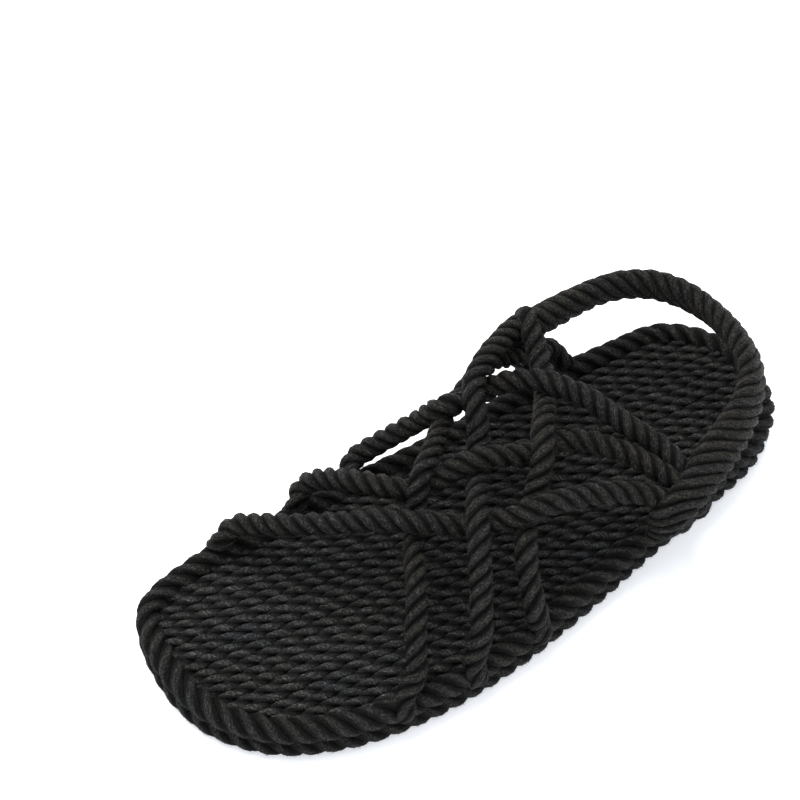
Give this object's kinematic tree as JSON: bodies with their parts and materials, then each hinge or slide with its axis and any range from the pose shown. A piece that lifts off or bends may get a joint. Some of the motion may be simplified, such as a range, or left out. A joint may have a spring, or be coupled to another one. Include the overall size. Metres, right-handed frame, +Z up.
{
  "type": "rope sandal",
  "caption": "Left rope sandal: a flat rope-mat sole edged with twisted rope, a woven rope lacing over the foot, side knots and a broad laid heel strap.",
  "frame": {"origin": "on the floor, under the middle of the sandal's bounding box", "axes": "+Z up, -Y towards the toe, +X towards the outer side of the left foot"},
  "size_m": [0.112, 0.2678, 0.0627],
  "materials": {
    "outsole_rope": "matt black laid cord, worn on its flats",
    "border_rope": "matt black three-strand rope with fine loose fibres",
    "footbed_rope": "matt black cord laid in lengthwise rows",
    "lacing_rope": "matt black three-strand rope with a slight warm sheen on its crowns"
  },
  "bodies": {
    "root": {"outsole": "outsole_rope", "border_bottom": "border_rope", "footbed": "footbed_rope", "border_top": "border_rope", "upper": "lacing_rope"}
  },
  "joints": []
}
